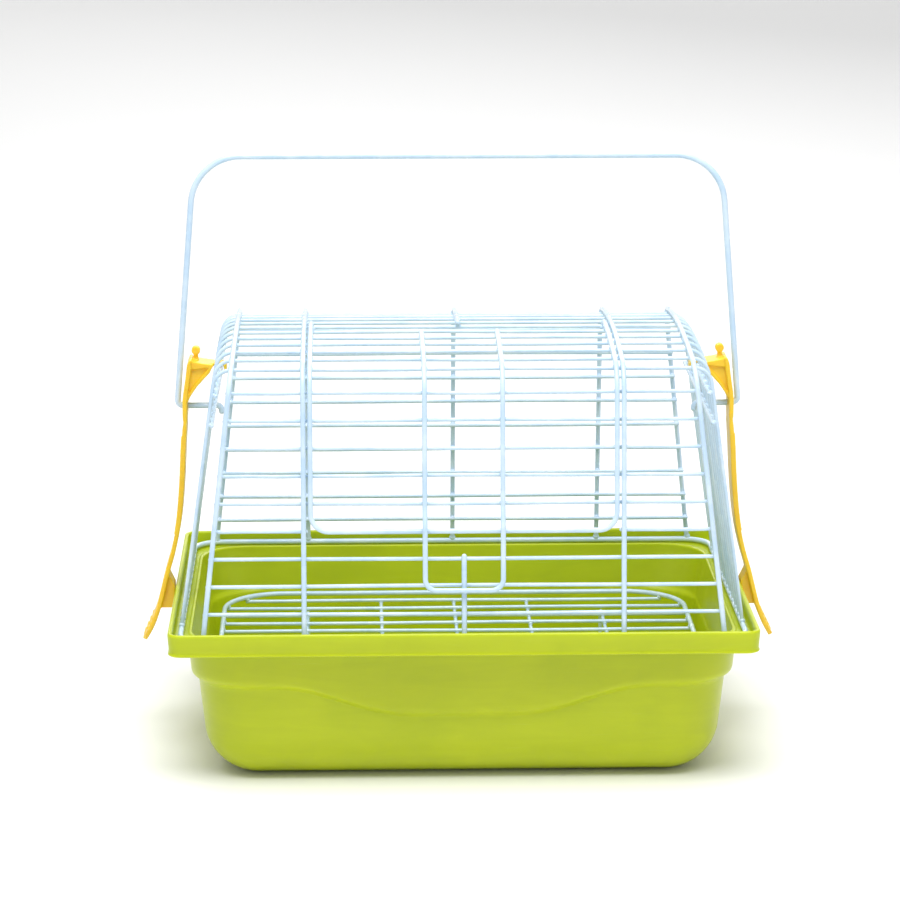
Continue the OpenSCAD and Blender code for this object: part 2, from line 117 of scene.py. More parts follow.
class DoorSizes(PropertyGroup):
    side_x: length("Door side wires", 0.0593, "Distance of the door's side wires from the middle")
    corner: length("Door corner", 0.007, "Radius of the door's lower corners")
    first_row: IntProperty(name="Door row", default=4,
                           description="Row of long wires on which the door's lower bar lies")
    tongue_x: length("Tongue legs", 0.0151, "Distance of the latch tongue's legs from the middle")
    tongue_z: length("Tongue height", 0.080, "Height of the tongue's lower bar")
    tongue_out: length("Tongue stand-off", 0.0024, "How far the lower bar stands out over the latch post")


class HandleSizes(PropertyGroup):
    pivot_z: length("Pivot height", 0.137, "Height of the handle's pivot")
    foot_x: length("Legs at pivot", 0.1134, "Distance of the legs from the middle at the pivot")
    top_x: length("Legs at top", 0.1052, "Distance of the legs from the middle at the crossbar")
    top_z: length("Crossbar height", 0.238, "Height of the crossbar's centre line")
    corner: length("Top corners", 0.020, "Radius of the top corners")
    radius: length("Wire radius", 0.0012, "Radius of the handle's wire")


class ClipSizes(PropertyGroup):
    width: length("Clip width", 0.014, "Width of the strap at its top")
    thick: length("Strap thickness", 0.0018, "Thickness of the strap")
    hinge_x: length("Living hinge, distance", 0.1102, "Distance of the living hinge from the middle")
    hinge_z: length("Living hinge height", 0.131, "Height of the living hinge")
    cell: length("Mould detail", 0.00030, "Cell size used to melt the clip's parts into one moulding")


class GrateSizes(PropertyGroup):
    half_x: length("Grate half length", 0.097, "Half length of the grate's frame")
    half_y: length("Grate half width", 0.066, "Half width of the grate's frame")
    height: length("Grate height", 0.0406, "Height of the grate's frame")
    corner: length("Grate corner", 0.025, "Radius of the frame's corners")
    pitch: length("Slat spacing", 0.012, "Spacing of the long slats")


def colour(name, default, text):
    return FloatVectorProperty(name=name, default=default, description=text, subtype="COLOR", size=3,
                               min=0, max=1)


class CarrierColours(PropertyGroup):
    lime: colour("Tray lime", (0.465, 0.530, 0.010), "Moulded tray")
    lime_shade: colour("Tray shade", (0.425, 0.495, 0.010), "Slightly deeper clouds in the tray's plastic")
    wire: colour("Wire coating", (0.500, 0.670, 0.840), "Pale coating on the wires")
    wire_pale: colour("Wire coating, pale", (0.660, 0.790, 0.900), "Paler stretches of the coating")
    clip: colour("Clip yellow", (0.900, 0.600, 0.030), "Moulded clips")
    clip_shade: colour("Clip shade", (0.860, 0.530, 0.022), "Slightly deeper clouds in the clips")
    floor: colour("Floor", (0.93, 0.93, 0.925), "Plain floor and backdrop")


class CarrierSettings(PropertyGroup):
    tray: PointerProperty(type=TraySizes)
    grate: PointerProperty(type=GrateSizes)
    wires: PointerProperty(type=WireSizes)
    door: PointerProperty(type=DoorSizes)
    handle: PointerProperty(type=HandleSizes)
    clips: PointerProperty(type=ClipSizes)
    colours: PointerProperty(type=CarrierColours)


def sizes(group):
    """The group's lengths in millimetres, angles in radians, counts as they are."""
    out = SimpleNamespace()
    for key in group.bl_rna.properties.keys():
        if key in ("rna_type", "name"):
            continue
        prop = group.bl_rna.properties[key]
        value = getattr(group, key)
        setattr(out, key, value * 1000 if getattr(prop, "unit", "") == "LENGTH" else value)
    return out


# ---- Shape of the wire top, shared by cage and door

class Dome:
    """The cage's profile across its width: leaning panel, shoulder, gently curved roof. Millimetres."""

    def __init__(self, w, lean=None, top=None):
        self.w = w
        self.lean = w.lean if lean is None else lean
        self.top = w.roof_z if top is None else top
        self.layer = w.heavy + w.thin + 0.1
        f, rs, rr = self.lean, w.shoulder, w.roof_round
        a1, b1, c1 = w.base_y - rs / math.cos(f), math.tan(f), w.base_z - self.top + rr
        a, b, c = 1 + b1 * b1, 2 * c1 - 2 * a1 * b1, a1 * a1 + c1 * c1 - (rr - rs) ** 2
        u = (-b + math.sqrt(b * b - 4 * a * c)) / (2 * a)
        self.centre = (-(a1 - u * b1), w.base_z + u)
        self.turn = math.atan2(self.centre[1] - (self.top - rr), self.centre[0])

    def foot(self, o):
        return (-self.w.base_y + o * math.cos(self.lean), self.w.base_z - o * math.sin(self.lean))

    def lengths(self, o):
        rs, rr = self.w.shoulder, self.w.roof_round
        knee = (self.centre[0] - (rs - o) * math.cos(self.lean),
                self.centre[1] + (rs - o) * math.sin(self.lean))
        return (math.dist(knee, self.foot(o)), (rs - o) * (math.pi - self.lean - self.turn),
                (rr - o) * 2 * (self.turn - math.pi / 2))

    def at(self, s, o=0.0):
        """Point (y, z) at arc length s from the front foot, o inside the arches' centre line."""
        l1, l2, _ = self.lengths(o)
        total = self.total(o)
        if s > total / 2:
            y, z = self.at(total - s, o)
            return (-y, z)
        if s <= l1:
            y, z = self.foot(o)
            return (y + s * math.sin(self.lean), z + s * math.cos(self.lean))
        if s <= l1 + l2:
            r = self.w.shoulder - o
            t = math.pi - self.lean - (s - l1) / r
            return (self.centre[0] + r * math.cos(t), self.centre[1] + r * math.sin(t))
        r = self.w.roof_round - o
        t = self.turn - (s - l1 - l2) / r
        return (r * math.cos(t), self.top - self.w.roof_round + r * math.sin(t))

    def total(self, o=0.0):
        l1, l2, l3 = self.lengths(o)
        return 2 * l1 + 2 * l2 + l3

    def row_step(self):
        return (self.total(self.layer) - 2 * self.w.first_gap) / (self.w.long_wires - 1)

    def row_length(self, n):
        """Arc length at which long wire n lies, counted from the lowest front wire."""
        return self.w.first_gap + (n - 1) * self.row_step()

    def row(self, n):
        """Centre (y, z) of long wire n."""
        return self.at(self.row_length(n), self.layer)

    def joint(self, n):
        """Point (y, z) where long wire n is welded to the arches, a little under half way out to them."""
        y, z = self.row(n)
        s = self.row_length(n)
        a, b = self.at(s - 0.2, self.layer), self.at(s + 0.2, self.layer)
        out = self.layer * 0.48 / math.hypot(b[0] - a[0], b[1] - a[1])
        return (y - (b[1] - a[1]) * out, z + (b[0] - a[0]) * out)

    def track(self, s0, s1):
        """Points (y, z) from arc length s0 to s1, dense where the profile bends."""
        l1, l2, l3 = self.lengths(0)
        marks = [0, l1, l1 + l2, l1 + l2 + l3, l1 + 2 * l2 + l3, self.total()]
        counts = [5, 9, 16, 9, 5]
        stops = []
        for k, m in enumerate(counts):
            stops += list(np.linspace(marks[k], marks[k + 1], m, endpoint=False))
        stops = [s for s in stops + [marks[-1]] if s0 + 0.4 < s < s1 - 0.4]
        return [self.at(s) for s in [s0] + stops + [s1]]


def rounded(points, radii, steps=7):
    """A polyline whose inner corners are turned into arcs of the given radii."""
    pts = [np.array(p, float) for p in points]
    out = [pts[0]]
    for i in range(1, len(pts) - 1):
        r = radii[i - 1]
        a, b = pts[i - 1] - pts[i], pts[i + 1] - pts[i]
        a, b = a / np.linalg.norm(a), b / np.linalg.norm(b)
        half = math.acos(max(-1, min(1, float(a @ b)))) / 2
        if r <= 0 or abs(half - math.pi / 2) < 1e-4:
            out.append(pts[i])
            continue
        mid = (a + b) / np.linalg.norm(a + b)
        centre = pts[i] + mid * (r / math.sin(half))
        p, q = pts[i] + a * (r / math.tan(half)), pts[i] + b * (r / math.tan(half))
        u, v = p - centre, q - centre
        span = math.pi - 2 * half
        for k in range(steps + 1):
            t = k / steps
            out.append(centre + (math.sin((1 - t) * span) * u + math.sin(t * span) * v) / math.sin(span))
    out.append(pts[-1])
    return out


def loop_points(hx, hy, r, z, arc=12):
    """A closed rounded rectangle."""
    pts = []
    for quarter, (sx, sy) in enumerate(((1, 1), (-1, 1), (-1, -1), (1, -1))):
        for k in range(arc + 1):
            a = math.radians(90 * quarter + 90 * k / arc)
            pts.append((sx * (hx - r) + r * math.cos(a), sy * (hy - r) + r * math.sin(a), z))
    return pts


class WireRun:
    """Wires of one piece, as paths with a radius, and the weld beads on them. Millimetres."""

    def __init__(self, wire_sizes):
        self.w = wire_sizes
        self.points, self.edges, self.radius, self.bead = [], [], [], []
        self.count = 0

    def path(self, pts, r, closed=False, bow=0.0):
        """A wire through pts; bow lets a straight one wander by up to that much, each in its own way."""
        pts = [np.array(p, float) for p in pts]
        if bow and len(pts) == 2:
            self.count += 1
            pts = self.wandering(*pts, bow, self.count)
        first = len(self.points)
        for p in pts:
            self.points.append(tuple(p))
            self.radius.append(r)
            self.bead.append(0.0)
        for i in range(len(pts) - 1):
            self.edges.append((first + i, first + i + 1))
        if closed:
            self.edges.append((first + len(pts) - 1, first))

    @staticmethod
    def wandering(a, b, bow, k):
        d = b - a
        n = max(3, int(np.linalg.norm(d) / 12))
        side = np.cross(d / np.linalg.norm(d), (0.0, 0.31, 0.95))
        side /= np.linalg.norm(side)
        lift = np.cross(side, d / np.linalg.norm(d))
        pts = []
        for i in range(n + 1):
            t = i / n
            drift = side * math.sin(5.1 * t + 1.7 * k) + lift * math.sin(4.3 * t + 2.9 * k)
            pts.append(a + d * t + math.sin(math.pi * t) * bow * drift)
        return pts

    def weld(self, p, r=None):
        self.points.append(tuple(p))
        self.radius.append(0.0)
        self.bead.append(self.w.bead if r is None else r)

    def build(self, name, material, tips=True, sides=None):
        mesh = bpy.data.meshes.new(name)
        mesh.from_pydata([tuple(c * 0.001 for c in p) for p in self.points], self.edges, [])
        for key, values in (("wire_radius", self.radius), ("bead_radius", self.bead)):
            layer = mesh.attributes.new(key, "FLOAT", "POINT")
            layer.data.foreach_set("value", [v * 0.001 for v in values])
        skeleton = bpy.data.objects.new(name, mesh)
        bpy.context.scene.collection.objects.link(skeleton)
        return finish_nodes(skeleton, coated_wire_tree(), {
            "Sides": sides or self.w.sides, "Round Tips": tips, "Coating": material})


# ---- Geometry Nodes

def add_node(tree, kind, inputs, **settings):
    """A new node. An input that is another node's socket is linked, any other is set."""
    n = tree.nodes.new(kind)
    for key, value in settings.items():
        setattr(n, key, value)
    for key, value in inputs.items():
        if isinstance(value, bpy.types.NodeSocket):
            tree.links.new(value, n.inputs[key])
        else:
            n.inputs[key].default_value = value
    return n


def coated_wire_tree():
    """Edges become round coated wires with rounded tips; loose points become weld beads."""
    found = bpy.data.node_groups.get("Coated Wires")
    if found:
        return found
    t = bpy.data.node_groups.new("Coated Wires", "GeometryNodeTree")
    sockets = {}
    for name, way, kind in (("Skeleton", "INPUT", "Geometry"), ("Sides", "INPUT", "Int"),
                            ("Round Tips", "INPUT", "Bool"), ("Coating", "INPUT", "Material"),
                            ("Wires", "OUTPUT", "Geometry")):
        sockets[name] = t.interface.new_socket(name, in_out=way, socket_type="NodeSocket" + kind)
    sockets["Sides"].default_value = 14
    sockets["Round Tips"].default_value = True
    given = t.nodes.new("NodeGroupInput").outputs

    def node(kind, inputs, **settings):
        return add_node(t, "GeometryNode" + kind, inputs, **settings)

    def named(key, kind="FLOAT"):
        return node("InputNamedAttribute", {"Name": key}, data_type=kind).outputs["Attribute"]

    # the wires: a round profile swept along each edge
    curve = node("MeshToCurve", {"Mesh": given["Skeleton"]}).outputs["Curve"]
    ring = node("CurvePrimitiveCircle", {"Radius": 1.0, "Resolution": given["Sides"]})
    sweep = node("CurveToMesh", {"Curve": curve, "Profile Curve": ring.outputs["Curve"],
                                 "Scale": named("wire_radius")})

    # rounded tips: a ball at both ends of each open wire
    ends = node("CurveEndpointSelection", {}).outputs["Selection"]
    pick = add_node(t, "FunctionNodeBooleanMath", {0: ends, 1: given["Round Tips"]}, operation="AND")
    keep = node("StoreNamedAttribute", {
        "Geometry": curve, "Name": "is_tip", "Value": pick.outputs["Boolean"]},
        data_type="BOOLEAN", domain="POINT")
    tip_points = node("CurveToPoints", {"Curve": keep.outputs["Geometry"]}, mode="EVALUATED")
    ball = node("MeshUVSphere", {"Radius": 1.0, "Rings": 8, "Segments": given["Sides"]})
    tips = node("InstanceOnPoints", {
        "Points": tip_points.outputs["Points"], "Selection": named("is_tip", "BOOLEAN"),
        "Instance": ball.outputs["Mesh"], "Scale": named("wire_radius")})

    # weld beads: a drop on each point that has a bead radius
    smallest = 0.00001
    wanted = add_node(t, "FunctionNodeCompare", {"A": named("bead_radius"), "B": smallest},
                      data_type="FLOAT", operation="GREATER_THAN")
    spots = node("MeshToPoints", {"Mesh": given["Skeleton"], "Selection": wanted.outputs["Result"]})
    drop = node("MeshIcoSphere", {"Radius": 1.0, "Subdivisions": 3})
    beads = node("InstanceOnPoints", {"Points": spots.outputs["Points"], "Instance": drop.outputs["Mesh"],
                                      "Scale": named("bead_radius")})

    join = node("JoinGeometry", {})
    for piece in (sweep.outputs["Mesh"], tips.outputs["Instances"], beads.outputs["Instances"]):
        t.links.new(piece, join.inputs["Geometry"])
    real = node("RealizeInstances", {"Geometry": join.outputs["Geometry"]})
    smooth = node("SetShadeSmooth", {"Geometry": real.outputs["Geometry"]})
    paint = node("SetMaterial", {"Geometry": smooth.outputs["Geometry"], "Material": given["Coating"]})
    add_node(t, "NodeGroupOutput", {"Wires": paint.outputs["Geometry"]})
    return t


def finish_nodes(obj, tree, values):
    """Runs a node tree on obj and returns a plain mesh object of the same name."""
    mod = obj.modifiers.new("Build", "NODES")
    mod.node_group = tree
    for item in tree.interface.items_tree:
        if item.item_type == "SOCKET" and item.in_out == "INPUT" and item.name in values:
            mod[item.identifier] = values[item.name]
    bpy.context.view_layer.update()
    deps = bpy.context.evaluated_depsgraph_get()
    mesh = bpy.data.meshes.new_from_object(obj.evaluated_get(deps))
    name, old = obj.name, obj.data
    obj.modifiers.remove(mod)
    bpy.data.objects.remove(obj)
    bpy.data.meshes.remove(old)
    for key in ("wire_radius", "bead_radius", "is_tip"):
        if key in mesh.attributes:
            mesh.attributes.remove(mesh.attributes[key])
    mesh.name = name
    made = bpy.data.objects.new(name, mesh)
    bpy.context.scene.collection.objects.link(made)
    face_outwards(mesh)
    return made


def face_outwards(mesh):
    """Turns the whole mesh round if its faces point inwards."""
    mesh.calc_loop_triangles()
    co = np.empty(len(mesh.vertices) * 3)
    mesh.vertices.foreach_get("co", co)
    co = co.reshape(-1, 3)
    tri = np.empty(len(mesh.loop_triangles) * 3, np.int32)
    mesh.loop_triangles.foreach_get("vertices", tri)
    a, b, c = co[tri.reshape(-1, 3)].transpose(1, 0, 2)
    if (np.cross(a, b) * c).sum() < 0:
        mesh.flip_normals()


def plain_mesh(name, verts, faces, material, smooth=True):
    """A mesh object from points in millimetres."""
    mesh = bpy.data.meshes.new(name)
    mesh.from_pydata([tuple(c * 0.001 for c in p) for p in verts], [], faces)
    mesh.validate()
    mesh.materials.append(material)
    if smooth:
        mesh.shade_smooth()
    face_outwards(mesh)
    obj = bpy.data.objects.new(name, mesh)
    bpy.context.scene.collection.objects.link(obj)
    return obj


# ---- Materials

def finish_group(name, inputs):
    """A shader node group that puts out colour, roughness and normal."""
    g = bpy.data.node_groups.new(name, "ShaderNodeTree")
    for key, value in inputs.items():
        kind = "NodeSocketFloat" if isinstance(value, float) else "NodeSocketColor"
        g.interface.new_socket(key, in_out="INPUT", socket_type=kind).default_value = value
    for key, kind in (("Colour", "Color"), ("Roughness", "Float"), ("Normal", "Vector")):
        g.interface.new_socket(key, in_out="OUTPUT", socket_type="NodeSocket" + kind)
    place = g.nodes.new("ShaderNodeTexCoord").outputs["Object"]
    return g, g.nodes.new("NodeGroupInput").outputs, place


def noise(tree, scale, detail, rough, vector, distortion=0.0):
    return add_node(tree, "ShaderNodeTexNoise", {
        "Scale": scale, "Detail": detail, "Roughness": rough, "Distortion": distortion,
        "Vector": vector}).outputs["Fac"]


def remap(tree, value, low, high, to_low=0.0, to_high=1.0):
    return add_node(tree, "ShaderNodeMapRange", {
        "Value": value, "From Min": low, "From Max": high,
        "To Min": to_low, "To Max": to_high}).outputs["Result"]


def math_of(tree, operation, *values):
    return add_node(tree, "ShaderNodeMath", dict(enumerate(values)), operation=operation).outputs["Value"]


def blend_of(tree, factor, a, b):
    mix = add_node(tree, "ShaderNodeMix", {"Factor": factor, "A": a, "B": b}, data_type="RGBA")
    return mix.outputs["Result"]


def stretched(tree, vector, scale, turn=(0, 0, 0)):
    return add_node(tree, "ShaderNodeMapping", {
        "Vector": vector, "Rotation": turn, "Scale": scale}).outputs["Vector"]


def patchy(tree, value, given):
    """Roughness that wanders between the group's low and high values."""
    return remap(tree, value, 0.3, 0.7, given["Low Roughness"], given["High Roughness"])


def put_out(tree, given, colour_out, rough, fine, broad, weight, depth, strength):
    """Ends a finish group; its bump is a fine noise plus a broad one times weight."""
    height = math_of(tree, "MULTIPLY_ADD", broad, weight, fine)
    bump = add_node(tree, "ShaderNodeBump", {
        "Distance": depth, "Strength": given[strength], "Height": height}).outputs["Normal"]
    add_node(tree, "NodeGroupOutput", {"Colour": colour_out, "Roughness": rough, "Normal": bump})
    return tree


def moulded_finish():
    """Colour clouds, fine moulded grain and faint scuffs, shared by every moulded plastic."""
    found = bpy.data.node_groups.get("Moulded Finish")
    if found:
        return found
    g, given, place = finish_group("Moulded Finish", {
        "Colour": (0.5, 0.5, 0.5, 1), "Shade": (0.4, 0.4, 0.4, 1), "Low Roughness": 0.25,
        "High Roughness": 0.4, "Grain Depth": 0.05, "Scuffs": 0.3})
    clouds = remap(g, noise(g, 26.0, 4.0, 0.55, place, 0.6), 0.35, 0.68)
    tint = blend_of(g, clouds, given["Shade"], given["Colour"])
    # faint flow lines of the moulding
    flow = noise(g, 2.2, 3.0, 0.6, stretched(g, place, (9.0, 9.0, 60.0)), 1.2)
    shade = add_node(g, "ShaderNodeVectorMath", {0: tint, "Scale": remap(g, flow, 0.3, 0.7, 0.965, 1.03)},
                     operation="SCALE").outputs["Vector"]
    # scuffs: short thin streaks that are rougher and a little paler
    streak = noise(g, 1.0, 2.0, 0.5, stretched(g, place, (70.0, 1100.0, 1100.0), (0.2, 0.35, 0.6)), 0.8)
    worn = noise(g, 19.0, 2.0, 0.5, place)
    scuff = math_of(g, "MULTIPLY", remap(g, streak, 0.66, 0.74), remap(g, worn, 0.5, 0.68))
    scuffed = math_of(g, "MULTIPLY", scuff, given["Scuffs"])
    pale = blend_of(g, scuffed, shade, (0.80, 0.84, 0.55, 1))
    patches = patchy(g, noise(g, 55.0, 3.0, 0.6, place), given)
    rough = math_of(g, "MULTIPLY_ADD", scuffed, 0.35, patches)
    return put_out(g, given, pale, rough, noise(g, 1500.0, 2.0, 0.5, place), noise(g, 60.0, 1.0, 0.5, place),
                   3.0, 0.00006, "Grain Depth")


def coat_finish():
    """Paler and deeper stretches of a dipped coating, with its slight ripple."""
    found = bpy.data.node_groups.get("Dipped Coating")
    if found:
        return found
    g, given, place = finish_group("Dipped Coating", {
        "Colour": (0.6, 0.7, 0.8, 1), "Pale": (0.8, 0.85, 0.9, 1), "Ripple": 0.2,
        "Low Roughness": 0.16, "High Roughness": 0.32})
    runs = remap(g, noise(g, 70.0, 3.0, 0.6, place, 0.4), 0.35, 0.7)
    tint = blend_of(g, runs, given["Colour"], given["Pale"])
    rough = patchy(g, noise(g, 160.0, 2.0, 0.5, place), given)
    return put_out(g, given, tint, rough, noise(g, 900.0, 2.0, 0.5, place), noise(g, 240.0, 1.0, 0.5, place),
                   2.5, 0.00008, "Ripple")


def material_with(name, group, values, shader_values):
    mat = bpy.data.materials.get(name)
    if mat:
        return mat
    mat = bpy.data.materials.new(name)
    mat.use_nodes = True
    nt = mat.node_tree
    bsdf = nt.nodes["Principled BSDF"]
    n = nt.nodes.new("ShaderNodeGroup")
    n.node_tree = group
    for key, value in values.items():
        n.inputs[key].default_value = (*value, 1) if isinstance(value, tuple) and len(value) == 3 else value
    for key, socket in (("Colour", "Base Color"), ("Roughness", "Roughness"), ("Normal", "Normal")):
        nt.links.new(n.outputs[key], bsdf.inputs[socket])
    for key, value in shader_values.items():
        bsdf.inputs[key].default_value = value
    return mat


def tray_plastic():
    c = bpy.context.scene.carrier.colours
    return material_with("Tray Plastic", moulded_finish(), {
        "Colour": tuple(c.lime), "Shade": tuple(c.lime_shade), "Low Roughness": 0.30, "High Roughness": 0.36,
        "Grain Depth": 0.10, "Scuffs": 0.03},
        {"IOR": 1.47, "Specular IOR Level": 0.36, "Subsurface Weight": 0.5,
         "Subsurface Radius": (0.9, 1.0, 0.15), "Subsurface Scale": 0.006})


def clip_plastic():
    c = bpy.context.scene.carrier.colours
    return material_with("Clip Plastic", moulded_finish(), {
        "Colour": tuple(c.clip), "Shade": tuple(c.clip_shade), "Low Roughness": 0.30, "High Roughness": 0.42,
        "Grain Depth": 0.22, "Scuffs": 0.14},
        {"IOR": 1.47, "Subsurface Weight": 0.35, "Subsurface Radius": (1.0, 0.65, 0.1),
         "Subsurface Scale": 0.003})


def wire_coating():
    c = bpy.context.scene.carrier.colours
    return material_with("Wire Coating", coat_finish(), {
        "Colour": tuple(c.wire), "Pale": tuple(c.wire_pale), "Ripple": 0.3,
        "Low Roughness": 0.16, "High Roughness": 0.30},
        {"IOR": 1.5, "Coat Weight": 0.35, "Coat Roughness": 0.12})


def floor_paint():
    mat = bpy.data.materials.get("Floor Paint")
    if mat:
        return mat
    mat = bpy.data.materials.new("Floor Paint")
    mat.use_nodes = True
    nt = mat.node_tree
    bsdf = nt.nodes["Principled BSDF"]
    c = bpy.context.scene.carrier.colours.floor
    place = nt.nodes.new("ShaderNodeTexCoord").outputs["Object"]
    cooler = (c[0] * 0.985, c[1] * 0.985, c[2] * 0.99, 1)
    tint = blend_of(nt, noise(nt, 3.0, 2.0, 0.5, place), (*c, 1), cooler)
    nt.links.new(tint, bsdf.inputs["Base Color"])
    bsdf.inputs["Roughness"].default_value = 0.75
    bsdf.inputs["Specular IOR Level"].default_value = 0.2
    return mat


# ---- Tray

PARTS = {"corner": 12, "long": 84, "short": 24}      # points along each kind of side
RING_SIDES = ((1, 0, "short", -1), (1, 1, "corner", 0), (0, 1, "long", 1), (-1, 1, "corner", 90),
              (-1, 0, "short", 1), (-1, -1, "corner", 180), (0, -1, "long", -1), (1, -1, "corner", 270))
BODY_IN = 10.6                                       # the body's foot lies this far inside the rim, mm
BODY_ROUND = 24                                      # radius of the body's corners in plan, mm
SIDE_SLOPE = 0.11                                    # how fast the lower sides lean in towards the floor


def ring_of(size_at, height_at):
    """One ring of the tray, in mm.

    height_at(x) gives the height, size_at(z) the half length, half width and corner radius.
    """
    pts = []
    for sx, sy, kind, start in RING_SIDES:
        n = PARTS[kind]
        for k in range(n):
            t = start + 90 * k / n if kind == "corner" else start * (1 - 2 * k / n)
            # the height depends on the place along the length, the size on the height
            z = height_at(80 * t if kind == "long" else sx * 90)
            hx, hy, r = size_at(z)
            if kind == "long":
                pts.append((t * (hx - r), sy * hy, z))
            elif kind == "short":
                pts.append((sx * hx, t * (hy - r), z))
            else:
                a = math.radians(t)
                pts.append((sx * (hx - r) + r * math.cos(a), sy * (hy - r) + r * math.sin(a), z))
    return pts


def tray_rings(s):
    """Rings from the middle of the underside, up the outside, over the rim and down inside to the floor."""
    hx, hy, rim_r, step = s.rim_x, s.rim_y, s.rim_corner, s.step
    bx, by = hx - BODY_IN, hy - BODY_IN
    ledge = s.rim_z - s.channel

    def wave(x):
        u = min(max(abs(x) - s.wave_flat, 0) / (s.wave_half - s.wave_flat), 1)
        return step - s.dip * (0.5 + 0.5 * math.cos(math.pi * u))

    def lower(z, o):
        fr = s.floor_round - o
        up = min(max((z - o) / fr, 0), 1)
        inset = fr * (1 - math.sqrt(max(0, 1 - (1 - up) ** 2))) + (step - z) * SIDE_SLOPE
        return bx - o - inset, by - o - inset, max(BODY_ROUND - o - inset, 4)

    def upper(z):
        f = (z - 27) / 30
        return hx - 9.4 + 2.6 * f, hy - 9.4 + 2.6 * f, 22 - f

    def in_upper(z):
        f = (z - step) / (ledge - step)
        return hx - 12 + 3.4 * f, hy - 12 + 3.4 * f, 20 - 0.8 * f

    def mixed(a, b, k):
        return tuple(p + (q - p) * k for p, q in zip(a, b))

    rings = []

    def flat(x, y, r, z):
        rings.append(ring_of(lambda _z: (x, y, r), lambda _x: z))

    def floor_bend(o, angles):
        """The bend from floor to side, o inside the outer face, from the angles of its arc."""
        fr = s.floor_round - o
        for a in angles:
            z = o + fr * (1 - math.cos(math.radians(a)))
            inset = fr * (1 - math.sin(math.radians(a))) + (step - z) * SIDE_SLOPE
            flat(bx - o - inset, by - o - inset, max(BODY_ROUND - o - inset, 4), z)

    # underside: a shallow panel recessed inside the ring it stands on
    for x, y, r, z in ((20, 10, 6, 0.7), (62, 33, 12, 0.7), (63.2, 34.2, 13, 0.62), (64.0, 35.0, 13.6, 0.28),
                       (64.8, 35.8, 14, 0.03), (65.6, 36.6, 14.5, 0.0)):
        flat(x, y, r, z)
    floor_bend(0, (0, 6, 12, 18, 24, 30, 37, 44, 52, 60, 68, 76, 83, 88))
    # lower wall up to just under the step
    for k in (0.2, 0.45, 0.7, 0.9):
        rings.append(ring_of(lambda z: lower(z, 0), lambda x, k=k: 18 + (wave(x) - 20.2) * k))
    # the step: a soft hollow in the lower wall, then the upper band swells out over it
    for dz, out in ((-1.6, 0), (-1.0, 0.02), (-0.5, 0.09), (0, 0.22), (0.5, 0.40), (1.0, 0.58), (1.6, 0.76),
                    (2.3, 0.89), (3.2, 0.97), (4.4, 1.0)):
        rings.append(ring_of(lambda z, out=out: mixed(lower(z, 0), upper(z), out),
                             lambda x, dz=dz: wave(x) + dz))
    top = ledge - s.wall
    for k in (0.25, 0.5, 0.75, 0.93):
        rings.append(ring_of(upper, lambda x, k=k: wave(x) + 4.4 + (top - 5.4 - wave(x)) * k))
    ux, uy, ur = upper(top)
    for a in (0, 30, 60, 90):
        c = math.radians(a)
        w = 0.9 * (1 - math.cos(c))
        flat(ux + w, uy + w, ur, top - 0.9 + 0.9 * math.sin(c))
    # under the ledge, out to the inner face of the skirt
    ix, iy, ir = hx - s.wall, hy - s.wall, rim_r - s.wall
    flat(ix - 0.8, iy - 0.8, ir - 0.6, top)
    flat(ix - 0.25, iy - 0.25, ir - 0.2, top - 0.22)
    flat(ix, iy, ir, top - 0.8)
    # the skirt leans in a little towards its lower edge, which ends in a rounded lip
    bottom = s.rim_z - s.skirt
    draft, lip = 0.45, 1.05
    flat(ix - draft, iy - draft, ir, bottom + 0.9)
    for a in range(180, 371, 19):
        c = math.radians(a)
        w = lip * math.cos(c) - 0.68
        flat(hx - draft + w, hy - draft + w, rim_r + w, bottom + lip * 0.62 * (1 + math.sin(c)))
    for w, z in ((0.10, 1.1), (0.02, 1.5)):
        flat(hx - draft + w, hy - draft + w, rim_r, bottom + z)
    for k in (0.3, 0.6, 0.85):
        flat(hx - draft * (1 - k), hy - draft * (1 - k), rim_r, bottom + 1.5 + (s.skirt - 2.9) * k)
    # over the rounded top edge and down into the channel
    half = s.wall / 2
    for a in range(0, 181, 18):
        c = math.radians(a)
        w = half * math.cos(c) - half
        flat(hx + w, hy + w, rim_r + w, s.rim_z - half + half * math.sin(c))
    flat(ix, iy, ir, ledge + 1.6)
    for a in (0, 30, 60, 90):
        c = math.radians(a)
        w = 0.8 * (1 - math.cos(c))
        flat(ix - w, iy - w, ir - w, ledge + 0.8 - 0.8 * math.sin(c))
    # the ledge, with a low bead along its inner edge
    tx, ty, tr = hx - 8.6, hy - 8.6, 19.2
    flat(tx + 4.0, ty + 4.0, 12, ledge)
    flat(tx + 1.7, ty + 1.7, tr - 1.7, ledge)
    for a in range(15, 181, 15):
        c = math.radians(a)
        w = 0.65 * (1 + math.cos(c))
        flat(tx + w, ty + w, tr - w, ledge + 0.6 * math.sin(c))
    flat(tx, ty, tr, ledge - 0.5)
    # inside, the step follows the outside's wave
    for k in (0.15, 0.4, 0.65, 0.88):
        rings.append(ring_of(in_upper, lambda x, k=k: ledge - 1.2 + (wave(x) + 4.8 - ledge) * k))
    for dz, k in ((2.9, 1.0), (2.3, 0.98), (1.8, 0.9), (1.4, 0.72), (1.0, 0.42), (0.6, 0.16), (0.1, 0.04),
                  (-0.6, 0.0)):
        rings.append(ring_of(lambda z, k=k: mixed(lower(z, s.wall), in_upper(z), k),
                             lambda x, dz=dz: wave(x) + dz))
    for k in (0.25, 0.55, 0.85):
        rings.append(ring_of(lambda z: lower(z, s.wall), lambda x, k=k: wave(x) - 0.6 + (19.6 - wave(x)) * k))
    floor_bend(s.wall, (84, 76, 68, 60, 52, 44, 37, 30, 23, 16, 9, 3))
    flat(40, 20, 8, s.wall)
    return rings


